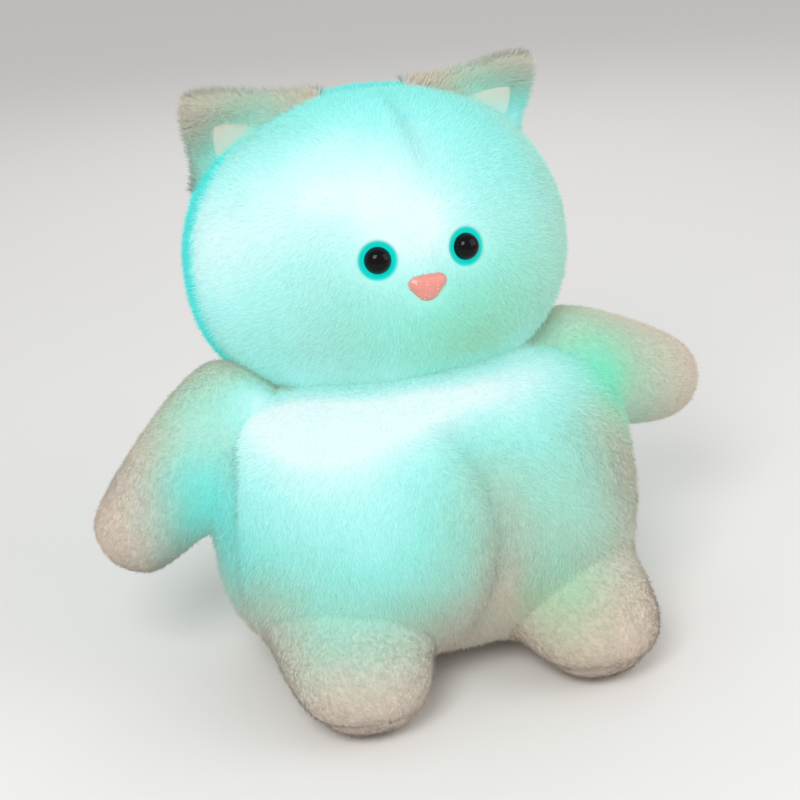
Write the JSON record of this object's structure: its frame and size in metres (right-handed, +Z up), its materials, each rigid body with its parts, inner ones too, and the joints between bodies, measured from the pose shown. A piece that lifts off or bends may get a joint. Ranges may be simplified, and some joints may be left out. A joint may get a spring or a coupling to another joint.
{
  "type": "plush night light",
  "caption": "Seated plush cat with a light inside: soft head, body, arms and legs, glossy eyes and nose, and a back zip over the battery case.",
  "frame": {"origin": "middle of the flat base panel that the body sits on", "axes": "+Z up, -Y towards the toy's face, +X towards the toy's own left hand"},
  "size_m": [0.3179, 0.2192, 0.2617],
  "materials": {
    "white_plush": "short pile plush, lit from inside",
    "back_plush": "short pile plush, lit from inside",
    "paw_plush": "short pile plush",
    "ear_lining": "smooth satin",
    "stuffing": "loose fibre",
    "eye_black": "polished",
    "nose_pink": "glossy",
    "washer": "matt",
    "zip_tape": "woven",
    "zip_metal": "satin",
    "case": "fine matt",
    "cell_sleeve": "printed sleeve without words",
    "contact": "bright",
    "board": "solder mask",
    "switch": "matt",
    "button": "satin",
    "diffuser": "milky",
    "lead": "satin"
  },
  "bodies": {
    "toy": {"head_face": "white_plush", "head_back": "back_plush", "head_filling": "stuffing", "body_front_left": "white_plush", "body_front_right": "white_plush", "body_back_left": "back_plush", "body_back_right": "back_plush", "body_base": "back_plush", "body_filling": "stuffing", "ear_left": "paw_plush", "ear_right": "paw_plush", "ear_lining_left": "ear_lining", "ear_lining_right": "ear_lining", "leg_left": "paw_plush", "leg_right": "paw_plush", "leg_filling_left": "stuffing", "leg_filling_right": "stuffing", "sole_left": "paw_plush", "sole_right": "paw_plush", "tail": "back_plush", "eye_left": "eye_black", "eye_right": "eye_black", "nose": "nose_pink", "eye_washer_left": "washer", "eye_washer_right": "washer", "nose_washer": "washer", "zip_tape_left": "zip_tape", "zip_tape_right": "zip_tape", "battery_pouch": "zip_tape", "battery_case": "case", "battery_lid": "case", "lid_screw": "contact", "cell_1": "cell_sleeve", "cell_2": "cell_sleeve", "cell_3": "cell_sleeve", "contact_spring_1": "contact", "contact_spring_2": "contact", "contact_spring_3": "contact", "contact_plate_1": "contact", "contact_plate_2": "contact", "contact_plate_3": "contact", "circuit_board": "board", "switch": "switch", "body_lamp_board": "board", "body_lamp_chip": "case", "body_lamp_dome": "diffuser", "head_lamp_board": "board", "head_lamp_chip": "case", "head_lamp_dome": "diffuser", "lead_to_body_lamp": "lead", "lead_to_head_lamp": "lead"},
    "arm_left": {"arm_left": "paw_plush", "arm_filling_left": "stuffing"},
    "arm_right": {"arm_right": "paw_plush", "arm_filling_right": "stuffing"},
    "zip_slider": {"zip_slider": "zip_metal"},
    "zip_pull": {"zip_pull": "zip_metal"},
    "power_button": {"power_button": "button"}
  },
  "joints": [
    {"name": "arm_left_raise", "type": "hinge", "parent": "toy", "child": "arm_left", "pos_m": [0.088, 0.027, 0.1119], "axis": [0.2597, -0.9657, 0], "range_deg": [0, 30], "stiffness_Nm_per_rad": 0.4, "springref_deg": -2.86},
    {"name": "arm_right_raise", "type": "hinge", "parent": "toy", "child": "arm_right", "pos_m": [-0.088, 0.027, 0.1119], "axis": [-0.2426, 0.9701, 0], "range_deg": [0, 45], "stiffness_Nm_per_rad": 0.4, "springref_deg": -2.86},
    {"name": "zip_slide", "type": "hinge", "parent": "toy", "child": "zip_slider", "pos_m": [0, -0.0096, 0.0603], "axis": [-1, 0, 0], "range_deg": [0, 31.7]},
    {"name": "zip_pull_swing", "type": "hinge", "parent": "zip_slider", "child": "zip_pull", "pos_m": [0, 0.071, 0.09], "axis": [1, 0, 0], "range_deg": [0, 110]},
    {"name": "power_button_press", "type": "slide", "parent": "toy", "child": "power_button", "axis": [0, -0.9957, -0.0923], "range_m": [0, 0.001], "stiffness_N_per_m": 300, "springref_m": -0.0005}
  ]
}
